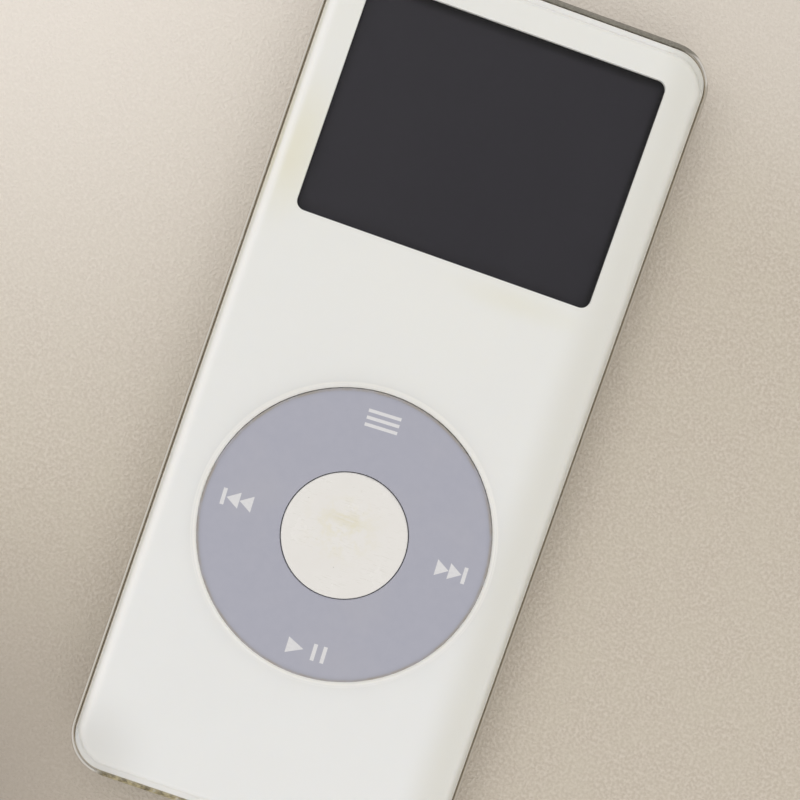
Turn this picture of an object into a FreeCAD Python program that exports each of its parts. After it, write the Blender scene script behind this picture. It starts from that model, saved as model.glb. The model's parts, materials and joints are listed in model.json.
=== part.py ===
"""Pocket digital audio player: steel tub, clear-over-white plastic front, touch wheel, small display.

Frame: millimetres, +X to the right, +Y towards the display end, +Z out of the front face.
The origin is under the middle of the player, on the plane of its flat steel back.
"""
import FreeCAD, Part
import os
import Sketcher

DIMENSIONS = (
    # Outer body
    ("case_w", 40.0, "width of the steel tub"),
    ("case_l", 90.0, "length of the steel tub"),
    ("body_t", 6.9, "back face to front face"),
    ("seam_z", 5.1, "height of the tub's open edge"),
    ("case_corner", 4.45, "corner radius seen from the front"),
    ("side_wall", 0.4, "sheet thickness at the long sides"),
    ("end_wall", 0.65, "rolled edge thickness at the two ends"),
    ("floor_t", 0.4, "sheet thickness at the back"),
    ("side_bend", 2.8, "bend between back and long sides"),
    ("end_bend", 1.2, "bend between back and ends"),
    ("rim_round", 0.44, "rolled outside of the tub's open edge"),
    ("clip_t", 0.2, "sheet of the spring clips"),
    ("clip_w", 6.0, "length of a clip"),
    ("clip_pitch", 30.0, "distance between clips along a side"),
    ("clip_middle_y", -2.0, "middle clips along the body"),
    ("clip_low", 3.8, "lower edge of the clips"),
    ("clip_top", 4.2, "upper edge of the clips"),
    ("seal_low", 4.5, "underside of the seam seal"),
    ("seal_top", 4.95, "top of the seam seal"),
    ("seal_gap", 0.05, "clearance on each side of the seal"),
    # Plastic front
    ("front_hw", 19.3, "half width of the clear front"),
    ("front_hl", 43.8, "half length of the clear front"),
    ("front_corner", 3.9, "corner radius of the clear front"),
    ("side_round", 1.2, "rounding of the front's long edges"),
    ("end_round", 0.8, "rounding of the front's end edges"),
    ("core_round", 0.55, "rounding of the white layer inside the clear one"),
    ("clear_t", 0.7, "clear layer over the white layer"),
    ("clear_wall", 0.5, "clear layer around the white layer"),
    ("bond_gap", 0.02, "adhesive line between clear and white"),
    ("white_t", 0.5, "white layer"),
    ("skirt_wall", 0.8, "white skirt inside the tub"),
    ("skirt_z", 3.6, "lower edge of the white skirt"),
    ("boss_r", 1.2, "screw boss"),
    ("notch_gap", 0.5, "room around a socket in the skirt"),
    # Inner frame
    ("frame_hw", 19.4, "half width of the inner frame"),
    ("frame_hl", 44.15, "half length of the inner frame"),
    ("frame_corner", 3.85, "its corner radius"),
    ("frame_wall", 1.15, "its wall"),
    ("frame_low", 2.1, "its underside"),
    ("bar_low", 3.1, "underside of its cross bar"),
    ("bar_top", 3.45, "top of its cross bar"),
    ("lug_r", 1.3, "lug under a board screw"),
    # Display window
    ("window_hw", 15.55, "half width of the window"),
    ("window_low", 16.31, "lower edge of the window"),
    ("window_high", 40.28, "upper edge of the window"),
    ("window_corner", 1.0, "corner radius of the window"),
    # Display module, measured from the window's lower and upper edges
    ("tray_z", 3.3, "underside of the steel tray"),
    ("tray_top", 4.9, "top of its rim"),
    ("tray_hw", 17.4, "half width of the tray"),
    ("tray_wall", 0.25, "sheet of its rim"),
    ("tray_floor", 0.2, "sheet of its floor"),
    ("tray_under", 2.3, "tray below the window"),
    ("tray_over", 1.65, "tray above the window"),
    ("light_hw", 16.8, "half width of the backlight"),
    ("light_under", 1.1, "backlight below the window"),
    ("light_over", 1.25, "backlight above the window"),
    ("glass_z", 4.3, "underside of the glass"),
    ("glass_top", 5.2, "top of the glass"),
    ("glass_hw", 17.0, "half width of the glass"),
    ("glass_under", 1.91, "glass below the window"),
    ("glass_over", 1.3, "glass above the window"),
    ("film_t", 0.1, "polarizer film"),
    ("film_hw", 16.4, "half width of the film"),
    ("film_under", 0.8, "film below the window"),
    ("film_over", 0.9, "film above the window"),
    ("foam_hw", 16.9, "half width of the foam frame"),
    ("foam_under", 1.3, "foam below the window"),
    ("foam_over", 1.2, "foam above the window"),
    ("foam_inset", 0.2, "foam set back behind the window's edge"),
    ("lead_hw", 4.0, "half width of the display's flexible lead"),
    ("lead_t", 0.1, "flexible circuits"),
    ("lead_start_y", 15.1, "lead's end under the glass"),
    ("lead_drop_y", 13.4, "where the lead turns down"),
    ("lead_end_y", 5.0, "lead's end on the connector"),
    # Touch wheel and centre button
    ("wheel_y", -13.08, "wheel centre along the body"),
    ("wheel_r", 14.85, "wheel radius"),
    ("wheel_top", 6.8, "top face of the wheel"),
    ("wheel_base", 4.9, "underside of the wheel"),
    ("wheel_gap", 0.08, "radial gap around wheel and button"),
    ("hole_chamfer", 0.38, "chamfer of the clear front around the wheel"),
    ("flange_r", 15.5, "retaining flange of the wheel"),
    ("flange_top", 5.3, "top of the retaining flange"),
    ("button_r", 6.4, "centre button radius"),
    ("button_top", 6.82, "top face of the centre button"),
    ("button_flange_r", 7.2, "retaining flange of the button"),
    ("button_pocket_r", 7.7, "pocket under the wheel for that flange"),
    ("button_pocket_z", 5.75, "ceiling of that pocket"),
    ("wheel_edge", 0.14, "rounding of the wheel's rims"),
    ("button_edge", 0.22, "rounding of the button's rim"),
    ("button_flange_z", 5.3, "underside of the button's flange"),
    ("button_flange_t", 0.25, "thickness of that flange"),
    ("plunger_z", 4.6, "lower end of the button's plunger"),
    ("plunger_r", 1.25, "plunger radius"),
    ("plunger_hole_r", 1.6, "hole in the sensor board for the plunger"),
    ("sensor_t", 0.3, "touch sensor board"),
    ("nub_r", 0.5, "rocking nubs on ring and plate"),
    ("nub_t", 0.16, "height of the ring's nubs"),
    ("rocker_in", 7.6, "inner radius of the rocker ring"),
    ("rocker_out", 9.6, "outer radius of the rocker ring"),
    ("rocker_z", 4.2, "underside of the rocker ring"),
    ("rocker_t", 0.2, "sheet thickness of the rocker ring"),
    ("dome_ring_r", 12.6, "distance of the outer domes from the centre"),
    ("dome_r", 2.0, "dome radius"),
    ("dome_high", 0.38, "dome and nub, just short of the pressed wheel and button"),
    ("seat_z", 3.6, "underside of the seat plate"),
    ("seat_t", 0.3, "seat plate"),
    ("seat_screw_x", 16.2, "seat plate screws, across"),
    ("seat_screw_y", 14.0, "seat plate screws, from the wheel centre"),
    # Electronics
    ("board_z", 2.35, "underside of the logic board"),
    ("board_t", 0.6, "logic board"),
    ("board_hw", 17.8, "half width of the logic board"),
    ("board_high", 9.0, "board edge beside the battery"),
    ("board_low", -35.8, "board edge behind the dock socket"),
    ("board_step_x", 10.0, "start of the cut-out for the jack"),
    ("board_step_y", -29.8, "board edge behind the jack"),
    ("lug_x", 17.0, "board screws, across"),
    ("lug_high_y", 7.2, "upper board screws"),
    ("lug_left_y", -34.0, "lower left board screw"),
    ("lug_right_y", -24.0, "lower right board screw"),
    ("screw_head_r", 0.9, "head radius of every screw"),
    ("screw_head_t", 0.3, "head thickness"),
    ("screw_r", 0.45, "shank radius"),
    ("screw_hole_r", 0.5, "clearance hole radius"),
    # Battery
    ("cell_hw", 15.2, "half width of the cell"),
    ("cell_low", 10.2, "lower edge of the cell"),
    ("cell_high", 39.8, "upper edge of the cell"),
    ("pad_t", 0.15, "adhesive pad under the cell"),
    ("cell_top", 2.85, "top of the cell"),
    # Sockets in the lower end
    ("jack_x", 14.2, "jack axis, across"),
    ("jack_z", 2.9, "jack axis, above the back"),
    ("jack_bore_r", 1.8, "bore for a 3.5 mm plug"),
    ("jack_depth", 14.0, "depth of that bore"),
    ("jack_block", 4.9, "width of the jack's moulding"),
    ("jack_nose_r", 2.0, "nose that lines the hole in the tub"),
    ("dock_x", -3.1, "dock socket centre, across"),
    ("dock_z", 2.75, "dock socket centre, above the back"),
    ("dock_w", 21.9, "opening width of the dock socket"),
    ("dock_t", 2.7, "opening height of the dock socket"),
    ("dock_wall", 0.25, "dock shell sheet"),
    ("dock_depth", 8.0, "length of the dock shell"),
    ("contact_pitch", 0.62, "pitch of the dock contacts"),
    # Hold switch in the upper end
    ("hold_x", -11.0, "hold opening centre, across"),
    ("hold_z", 2.4, "hold opening centre, above the back"),
    ("hold_w", 9.0, "opening width"),
    ("hold_t", 2.2, "opening height"),
    ("slider_x", -12.3, "slider centre at rest"),
    ("slider_w", 4.6, "slider length along its travel"),
    ("slider_proud", 0.25, "slider stands out of the end by this much"),
    ("groove_pitch", 0.55, "pitch of the slider's grip grooves"),
)

DOCK_CONTACTS = 30
PLAYER = FreeCAD.newDocument("audio_player")
SUBPARTS = []


def write_sheet():
    sheet = PLAYER.addObject("Spreadsheet::Sheet", "dim")
    for row, (alias, value, note) in enumerate(DIMENSIONS, 1):
        sheet.set(f"A{row}", note)
        sheet.set(f"B{row}", str(value))
        sheet.setAlias(f"B{row}", alias)
    PLAYER.recompute()
    return sheet


SHEET = write_sheet()


def number(expression):
    """Value of an expression of the sheet's aliases."""
    value = SHEET.evalExpression(expression)
    return float(getattr(value, "Value", value))


def keep(part, label):
    """Register a finished sub-part under the name of its node."""
    part.Label = label
    SUBPARTS.append(part)
    return part


# Part primitives bound to the sheet


def bind(part, **expressions):
    for name, expression in expressions.items():
        part.setExpression(name, expression)
    return part


def place(part, x, y, z):
    for axis, expression in zip("xyz", (x, y, z)):
        part.setExpression(f"Placement.Base.{axis}", expression)
    return part


def box(name, x_range, y_range, z_range):
    """A block between two planes on each axis, each plane an expression."""
    part = PLAYER.addObject("Part::Box", name)
    spans = [f"({high}) - ({low})" for low, high in (x_range, y_range, z_range)]
    bind(part, Length=spans[0], Width=spans[1], Height=spans[2])
    return place(part, x_range[0], y_range[0], z_range[0])


def chip(name, x, y, size_x, size_y, z_range):
    """A block centred at x, y."""
    x_range = (f"({x}) - ({size_x}) / 2", f"({x}) + ({size_x}) / 2")
    y_range = (f"({y}) - ({size_y}) / 2", f"({y}) + ({size_y}) / 2")
    return box(name, x_range, y_range, z_range)


def cylinder(name, x, y, z_range, radius):
    """An upright cylinder."""
    part = PLAYER.addObject("Part::Cylinder", name)
    bind(part, Radius=radius, Height=f"({z_range[1]}) - ({z_range[0]})")
    return place(part, x, y, z_range[0])


def cone(name, x, y, z_range, low_radius, high_radius):
    part = PLAYER.addObject("Part::Cone", name)
    bind(part, Radius1=low_radius, Radius2=high_radius, Height=f"({z_range[1]}) - ({z_range[0]})")
    return place(part, x, y, z_range[0])


def rod(name, x, z, y_range, radius):
    """A cylinder lying along Y."""
    part = PLAYER.addObject("Part::Cylinder", name)
    bind(part, Radius=radius, Height=f"({y_range[1]}) - ({y_range[0]})")
    part.Placement.Rotation = FreeCAD.Rotation(FreeCAD.Vector(1, 0, 0), -90)
    return place(part, x, y_range[0], z)


def fuse(name, *parts):
    part = PLAYER.addObject("Part::MultiFuse", name)
    part.Shapes = list(parts)
    return part


def cut(name, base, *tools):
    tool = tools[0] if len(tools) == 1 else fuse(name + "_tools", *tools)
    part = PLAYER.addObject("Part::Cut", name)
    part.Base = base
    part.Tool = tool
    return part


def group(name, parts):
    part = PLAYER.addObject("Part::Compound", name)
    part.Links = list(parts)
    return part


def slab(name, half_w, half_l, z_range, corner):
    """An upright block with its four upright edges rounded."""
    block = box(name + "_block", (f"-({half_w})", half_w), (f"-({half_l})", half_l), z_range)
    return round_edges(name, block, corner, is_upright)


def pillow(name, half_w, half_l, z_range, corner, level, side_radius, end_radius):
    """A slab whose edge loop at one level is rounded, more on the long sides than at the ends."""
    height = number(level)
    end_y = number(half_l) - number(corner)

    def at_level(edge):
        return abs(edge.BoundBox.ZMin - height) < 1e-5 and abs(edge.BoundBox.ZMax - height) < 1e-5

    def on_long_side(edge):
        return at_level(edge) and edge.BoundBox.XLength < 1e-5

    def on_end(edge):
        middle = edge.valueAt((edge.FirstParameter + edge.LastParameter) / 2)
        bounds = edge.BoundBox
        touches = min(abs(bounds.ZMin - height), abs(bounds.ZMax - height)) < 1e-5
        return touches and abs(middle.y) > end_y and bounds.XLength > 1e-5

    block = box(name + "_profile_block", (f"-({half_w})", half_w), (f"-({half_l})", half_l), z_range)
    profile = round_edges(name + "_profile", block, side_radius, on_long_side)
    plan = slab(name + "_plan", half_w, half_l, z_range, corner)
    common = PLAYER.addObject("Part::Common", name + "_common")
    common.Base = profile
    common.Tool = plan
    return round_edges(name, common, end_radius, on_end)


def round_edges(name, base, radius, wanted):
    """Round the edges that wanted(edge) picks."""
    PLAYER.recompute()
    part = PLAYER.addObject("Part::Fillet", name)
    part.Base = base
    size = number(radius)
    part.Edges = [(index, size, size) for index, edge in enumerate(base.Shape.Edges, 1) if wanted(edge)]
    PLAYER.recompute()
    return part


# Bodies with sketches


def origin_plane(body, role):
    return next(feature for feature in body.Origin.OriginFeatures if feature.Role == role)


def new_body(name, x="0", y="0", z="0"):
    return place(PLAYER.addObject("PartDesign::Body", name), x, y, z)


def new_sketch(body, name, role, height="0"):
    sketch = body.newObject("Sketcher::SketchObject", name)
    sketch.AttachmentSupport = (origin_plane(body, role), [""])
    sketch.MapMode = "FlatFace"
    sketch.setExpression("AttachmentOffset.Base.z", height)
    return sketch


def pin_point(sketch, geometry, point, place_u, place_v):
    """Hold a sketch point at two expressions, measured from the sketch's origin."""
    for kind, expression, axis in (("DistanceX", place_u, -2), ("DistanceY", place_v, -1)):
        value = number(expression)
        if abs(value) < 1e-9:
            sketch.addConstraint(Sketcher.Constraint("PointOnObject", geometry, point, axis))
            continue
        index = sketch.addConstraint(Sketcher.Constraint(kind, -1, 1, geometry, point, value))
        sketch.setExpression(f"Constraints[{index}]", expression)


def add_polygon(sketch, corners):
    """A closed outline whose corners are pairs of expressions."""
    points = [FreeCAD.Vector(number(u), number(v), 0) for u, v in corners]
    first = len(sketch.Geometry)
    count = len(points)
    for index, start in enumerate(points):
        sketch.addGeometry(Part.LineSegment(start, points[(index + 1) % count]), False)
    for index in range(count):
        following = first + (index + 1) % count
        sketch.addConstraint(Sketcher.Constraint("Coincident", first + index, 2, following, 1))
    for index, (place_u, place_v) in enumerate(corners):
        pin_point(sketch, first + index, 1, place_u, place_v)


def add_circle(sketch, place_u, place_v, radius):
    centre = FreeCAD.Vector(number(place_u), number(place_v), 0)
    circle = Part.Circle(centre, FreeCAD.Vector(0, 0, 1), number(radius))
    index = sketch.addGeometry(circle, False)
    pin_point(sketch, index, 3, place_u, place_v)
    size = sketch.addConstraint(Sketcher.Constraint("Radius", index, number(radius)))
    sketch.setExpression(f"Constraints[{size}]", radius)


def pad(body, sketch, height):
    feature = body.newObject("PartDesign::Pad", sketch.Name + "_pad")
    feature.Profile = (sketch, [""])
    feature.setExpression("Length", height)
    PLAYER.recompute()
    return feature


def pocket_through(body, sketch):
    """Cut a sketch drawn on the body's underside upwards through everything."""
    before = body.Shape.Volume
    feature = body.newObject("PartDesign::Pocket", sketch.Name + "_pocket")
    feature.Profile = (sketch, [""])
    feature.Type = "ThroughAll"
    feature.Reversed = True
    PLAYER.recompute()
    if body.Shape.Volume > before - 1e-6:
        raise RuntimeError(f"{feature.Name} cuts nothing")
    return feature


def revolve(body, sketch):
    """Turn a half section, drawn in the XZ plane, about the body's own Z axis."""
    feature = body.newObject("PartDesign::Revolution", sketch.Name + "_turned")
    feature.Profile = (sketch, [""])
    feature.ReferenceAxis = (sketch, ["V_Axis"])
    feature.Angle = 360
    PLAYER.recompute()
    return feature


def fillet_body(body, radius, wanted):
    shape = body.Shape
    names = [f"Edge{index}" for index, edge in enumerate(shape.Edges, 1) if wanted(edge)]
    if not names:
        raise RuntimeError(f"{body.Name} has no such edge to round")
    base = body.Tip
    feature = body.newObject("PartDesign::Fillet", body.Name + "_round")
    feature.Base = (base, names)
    feature.setExpression("Radius", radius)
    PLAYER.recompute()
    return feature


def is_circle_at(edge, radius, z):
    """True for a full circle about the local Z axis with this radius and height."""
    if not isinstance(edge.Curve, Part.Circle):
        return False
    return abs(edge.Curve.Radius - number(radius)) < 1e-4 and abs(edge.Curve.Center.z - number(z)) < 1e-4


# Shell


def make_rear_case():
    """Deep-drawn steel tub with openings for jack, dock socket and hold switch."""
    outside = pillow(
        "tub_outside",
        "dim.case_w / 2",
        "dim.case_l / 2",
        ("0", "dim.seam_z"),
        "dim.case_corner",
        "0",
        "dim.side_bend",
        "dim.end_bend",
    )
    rolled = round_edges("tub_rolled", outside, "dim.rim_round", is_level_at("dim.seam_z"))
    cavity = pillow(
        "tub_cavity",
        "dim.case_w / 2 - dim.side_wall",
        "dim.case_l / 2 - dim.end_wall",
        ("dim.floor_t", "dim.seam_z + 1"),
        "dim.case_corner - dim.side_wall",
        "dim.floor_t",
        "dim.side_bend - dim.side_wall",
        "dim.end_bend - dim.side_wall",
    )
    lower_end = ("-dim.case_l / 2 - 1", "-dim.case_l / 2 + 2")
    upper_end = ("dim.case_l / 2 - 2", "dim.case_l / 2 + 1")
    dock = box(
        "tub_dock_opening",
        ("dim.dock_x - dim.dock_w / 2", "dim.dock_x + dim.dock_w / 2"),
        lower_end,
        ("dim.dock_z - dim.dock_t / 2", "dim.dock_z + dim.dock_t / 2"),
    )
    jack = rod("tub_jack_hole", "dim.jack_x", "dim.jack_z", lower_end, "dim.jack_nose_r + 0.04")
    hold = box(
        "tub_hold_opening",
        ("dim.hold_x - dim.hold_w / 2", "dim.hold_x + dim.hold_w / 2"),
        upper_end,
        ("dim.hold_z - dim.hold_t / 2", "dim.hold_z + dim.hold_t / 2"),
    )
    keep(cut("rear_case", rolled, cavity, dock, jack, hold), "rear_case")


def make_case_clips():
    """Spring clips welded inside the long walls; they grip the white skirt."""
    inner = "dim.case_w / 2 - dim.side_wall"
    z_range = ("dim.clip_low", "dim.clip_top")
    clips = []
    for row in (-1, 0, 1):
        middle = f"dim.clip_middle_y + {row} * dim.clip_pitch"
        y_range = (f"{middle} - dim.clip_w / 2", f"{middle} + dim.clip_w / 2")
        right = (f"{inner} - dim.clip_t", inner)
        left = (f"-({inner})", f"-({inner}) + dim.clip_t")
        clips.append(box(f"clip_right_{row + 1}", right, y_range, z_range))
        clips.append(box(f"clip_left_{row + 1}", left, y_range, z_range))
    keep(group("case_clips", clips), "case_clips")


def make_seam_seal():
    """Soft bead in the seam between tub and skirt, open where the jack passes."""
    z_range = ("dim.seal_low", "dim.seal_top")
    outside = slab(
        "seal_outside",
        "dim.case_w / 2 - dim.side_wall - dim.seal_gap",
        "dim.case_l / 2 - dim.end_wall - dim.seal_gap",
        z_range,
        "dim.case_corner - dim.side_wall - dim.seal_gap",
    )
    inside = slab(
        "seal_inside",
        "dim.front_hw + dim.seal_gap",
        "dim.front_hl + dim.seal_gap",
        ("dim.seal_low - 1", "dim.seal_top + 1"),
        "dim.front_corner + dim.seal_gap",
    )
    jack = box(
        "seal_jack_gap",
        ("dim.jack_x - dim.jack_block / 2 - dim.seal_gap", "dim.jack_x + dim.jack_block / 2 + dim.seal_gap"),
        ("-dim.case_l / 2", "-dim.front_hl + 1"),
        ("dim.seal_low - 1", "dim.seal_top + 1"),
    )
    keep(cut("seam_seal", outside, inside, jack), "seam_seal")


def make_front_cover():
    """Clear moulding: a shallow cap with rounded edges and a chamfered hole for the wheel."""
    low = "dim.seam_z + dim.bond_gap"
    outside = pillow(
        "clear_outside",
        "dim.front_hw",
        "dim.front_hl",
        (low, "dim.body_t"),
        "dim.front_corner",
        "dim.body_t",
        "dim.side_round",
        "dim.end_round",
    )
    ceiling = "dim.body_t - dim.clear_t"
    cavity_block = slab(
        "clear_cavity_block",
        "dim.front_hw - dim.clear_wall",
        "dim.front_hl - dim.clear_wall",
        (f"{low} - 1", ceiling),
        "dim.front_corner - dim.clear_wall",
    )
    cavity = round_edges("clear_cavity", cavity_block, "dim.core_round", is_level_at(ceiling))
    hole_r = "dim.wheel_r + dim.wheel_gap"
    hole = cylinder("clear_hole", "0", "dim.wheel_y", (low, "dim.body_t + 1"), hole_r)
    chamfer = cone(
        "clear_hole_chamfer",
        "0",
        "dim.wheel_y",
        ("dim.body_t - dim.hole_chamfer", "dim.body_t + 0.2"),
        hole_r,
        f"{hole_r} + dim.hole_chamfer + 0.2",
    )
    keep(cut("front_cover", outside, cavity, hole, chamfer), "front_cover")


def make_front_backing():
    """White moulding under the clear one, with a skirt inside the tub and four screw bosses."""
    inset = "dim.clear_wall + dim.bond_gap"
    top = "dim.body_t - dim.clear_t - dim.bond_gap"
    upper_block = slab(
        "white_upper_block",
        f"dim.front_hw - ({inset})",
        f"dim.front_hl - ({inset})",
        ("dim.seam_z - 0.2", top),
        f"dim.front_corner - ({inset})",
    )
    upper = round_edges("white_upper", upper_block, "dim.core_round", is_level_at(top))
    skirt_range = ("dim.skirt_z", "dim.seam_z")
    lower = slab("white_skirt", "dim.front_hw", "dim.front_hl", skirt_range, "dim.front_corner")
    underside = f"{top} - dim.white_t"
    hollow = slab(
        "white_hollow",
        "dim.front_hw - dim.clear_wall - dim.skirt_wall",
        "dim.front_hl - dim.clear_wall - dim.skirt_wall",
        ("dim.skirt_z - 1", underside),
        "dim.front_corner - dim.clear_wall - dim.skirt_wall - 1",
    )
    window_block = box(
        "white_window_block",
        ("-dim.window_hw", "dim.window_hw"),
        ("dim.window_low", "dim.window_high"),
        (f"{underside} - 1", "dim.body_t"),
    )
    window = round_edges("white_window", window_block, "dim.window_corner", is_upright)
    opening = (f"{underside} - 1", "dim.body_t")
    wheel_hole = cylinder("white_wheel_hole", "0", "dim.wheel_y", opening, "dim.wheel_r + dim.wheel_gap")
    end_notch = ("-dim.case_l / 2", "-dim.front_hl + 3")
    jack_half = "dim.jack_block / 2 + dim.notch_gap / 2"
    jack_notch = box(
        "white_jack_notch",
        (f"dim.jack_x - ({jack_half})", f"dim.jack_x + {jack_half}"),
        end_notch,
        ("dim.skirt_z - 1", "dim.jack_z + 2.2"),
    )
    dock_notch = box(
        "white_dock_notch",
        ("dim.dock_x - dim.dock_w / 2 - dim.notch_gap", "dim.dock_x + dim.dock_w / 2 + dim.notch_gap"),
        end_notch,
        ("dim.skirt_z - 1", "dim.dock_z + 1.8"),
    )
    shell = cut(
        "white_shell", fuse("white_body", upper, lower), hollow, window, wheel_hole, jack_notch, dock_notch
    )
    bosses = []
    holes = []
    boss_z = ("dim.seat_z + dim.seat_t", underside)
    for index, (x, y) in enumerate(seat_screw_places()):
        bosses.append(cylinder(f"boss_{index}", x, y, boss_z, "dim.boss_r"))
        holes.append(
            cylinder(f"boss_hole_{index}", x, y, (boss_z[0], f"{underside} - 0.3"), "dim.screw_hole_r")
        )
    keep(cut("front_backing", fuse("white_with_bosses", shell, *bosses), *holes), "front_backing")


def make_inner_frame():
    """Plastic frame that lines the tub, tied by a cross bar; four lugs carry the logic board."""
    z_range = ("dim.frame_low", "dim.skirt_z - 0.1")
    through = ("dim.frame_low - 1", "dim.skirt_z + 1")
    outside = slab("frame_outside", "dim.frame_hw", "dim.frame_hl", z_range, "dim.frame_corner")
    hollow = slab(
        "frame_hollow",
        "dim.frame_hw - dim.frame_wall",
        "dim.frame_hl - dim.frame_wall",
        through,
        "dim.frame_corner - dim.frame_wall",
    )
    sockets = box(
        "frame_socket_notch",
        ("dim.dock_x - dim.dock_w / 2 - dim.notch_gap", "dim.jack_x + dim.jack_block / 2 + dim.notch_gap / 2"),
        ("-dim.case_l / 2", "-dim.frame_hl + 2"),
        through,
    )
    hold = box(
        "frame_hold_notch",
        ("dim.hold_x - dim.hold_w / 2 - 0.1", "dim.hold_x + dim.hold_w / 2 + 0.1"),
        ("dim.frame_hl - 2", "dim.case_l / 2"),
        through,
    )
    ring = cut("frame_ring", outside, hollow, sockets, hold)
    bar = box(
        "frame_bar",
        ("-dim.frame_hw + 1.1", "dim.frame_hw - 1.1"),
        ("dim.board_high - 0.4", "dim.board_high + 1"),
        ("dim.bar_low", "dim.bar_top"),
    )
    lug_z = ("dim.board_z + dim.board_t", z_range[1])
    lugs = []
    holes = []
    for index, (x, y) in enumerate(board_screw_places()):
        lugs.append(cylinder(f"lug_{index}", x, y, lug_z, "dim.lug_r"))
        holes.append(cylinder(f"lug_hole_{index}", x, y, through, "dim.screw_hole_r"))
    keep(cut("inner_frame", fuse("frame_with_lugs", ring, bar, *lugs), *holes), "inner_frame")


def is_upright(edge):
    return abs(edge.tangentAt(edge.FirstParameter).z) > 0.5


def is_level_at(z):
    """A test for edges that lie at one height."""
    height = number(z)
    return lambda edge: abs(edge.BoundBox.ZMin - height) < 1e-5 and abs(edge.BoundBox.ZMax - height) < 1e-5


# Screws


def seat_screw_places():
    return [
        (f"{side} * dim.seat_screw_x", f"dim.wheel_y + {end} * dim.seat_screw_y")
        for side in (-1, 1)
        for end in (-1, 1)
    ]


def board_screw_places():
    return [
        ("-dim.lug_x", "dim.lug_high_y"),
        ("dim.lug_x", "dim.lug_high_y"),
        ("-dim.lug_x", "dim.lug_left_y"),
        ("dim.lug_x", "dim.lug_right_y"),
    ]


def make_screws(label, places, face, length):
    """Pan-head screws driven upwards; their heads sit under the face."""
    screws = []
    for index, (x, y) in enumerate(places):
        name = f"{label}_{index}"
        low = f"{face} - dim.screw_head_t"
        head = cylinder(name + "_head", x, y, (low, face), "dim.screw_head_r")
        shank = cylinder(name + "_shank", x, y, (face, f"{face} + {length}"), "dim.screw_r")
        slots = [
            chip(name + "_slot_a", x, y, "1.1", "0.2", (f"{low} - 1", f"{low} + 0.15")),
            chip(name + "_slot_b", x, y, "0.2", "1.1", (f"{low} - 1", f"{low} + 0.15")),
        ]
        screws.append(cut(name, fuse(name + "_body", head, shank), *slots))
    keep(group(label, screws), label)


# Touch wheel and its module


def make_touch_wheel():
    """Ring with a retaining flange outside and a pocket for the button's flange inside."""
    body = new_body("touch_wheel", y="dim.wheel_y")
    inner = "dim.button_r + dim.wheel_gap"
    section = new_sketch(body, "wheel_section", "XZ_Plane")
    add_polygon(
        section,
        [
            (inner, "dim.wheel_top"),
            (inner, "dim.button_pocket_z"),
            ("dim.button_pocket_r", "dim.button_pocket_z"),
            ("dim.button_pocket_r", "dim.wheel_base"),
            ("dim.flange_r", "dim.wheel_base"),
            ("dim.flange_r", "dim.flange_top"),
            ("dim.wheel_r", "dim.flange_top"),
            ("dim.wheel_r", "dim.wheel_top"),
        ],
    )
    revolve(body, section)

    def top_rim(edge):
        return is_circle_at(edge, "dim.wheel_r", "dim.wheel_top") or is_circle_at(edge, inner, "dim.wheel_top")

    fillet_body(body, "dim.wheel_edge", top_rim)
    keep(body, "touch_wheel")


def make_select_button():
    """Round button with a flange under the wheel and a plunger over the centre dome."""
    body = new_body("select_button", y="dim.wheel_y")
    section = new_sketch(body, "button_section", "XZ_Plane")
    flange_top = "dim.button_flange_z + dim.button_flange_t"
    add_polygon(
        section,
        [
            ("0", "dim.button_top"),
            ("0", "dim.plunger_z"),
            ("dim.plunger_r", "dim.plunger_z"),
            ("dim.plunger_r", "dim.button_flange_z"),
            ("dim.button_flange_r", "dim.button_flange_z"),
            ("dim.button_flange_r", flange_top),
            ("dim.button_r", flange_top),
            ("dim.button_r", "dim.button_top"),
        ],
    )
    revolve(body, section)
    fillet_body(body, "dim.button_edge", lambda edge: is_circle_at(edge, "dim.button_r", "dim.button_top"))
    keep(body, "select_button")


def make_sensor_board():
    """Touch sensor board bonded under the wheel, with a hole for the plunger."""
    body = new_body("wheel_sensor_board", y="dim.wheel_y", z="dim.wheel_base - dim.sensor_t")
    outline = new_sketch(body, "sensor_outline", "XY_Plane")
    add_circle(outline, "0", "0", "dim.flange_r - 0.2")
    add_circle(outline, "0", "0", "dim.plunger_hole_r")
    pad(body, outline, "dim.sensor_t")
    keep(body, "wheel_sensor_board")


def make_rocker_ring():
    """Spring-steel ring between seat plate and wheel; its four nubs let the wheel tip both ways."""
    middle = "(dim.rocker_in + dim.rocker_out) / 2"
    top = "dim.rocker_z + dim.rocker_t"
    outer = cylinder("rocker_outer", "0", "dim.wheel_y", ("dim.rocker_z", top), "dim.rocker_out")
    inner = cylinder("rocker_inner", "0", "dim.wheel_y", ("dim.rocker_z - 1", f"{top} + 1"), "dim.rocker_in")
    ring = cut("rocker_flat", outer, inner)
    nub_z = (top, f"{top} + dim.nub_t")
    nubs = [
        cylinder(f"rocker_nub_{end}", "0", f"dim.wheel_y + {sign} * {middle}", nub_z, "dim.nub_r")
        for end, sign in (("high", 1), ("low", -1))
    ]
    keep(fuse("wheel_rocker_ring", ring, *nubs), "wheel_rocker_ring")


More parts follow.
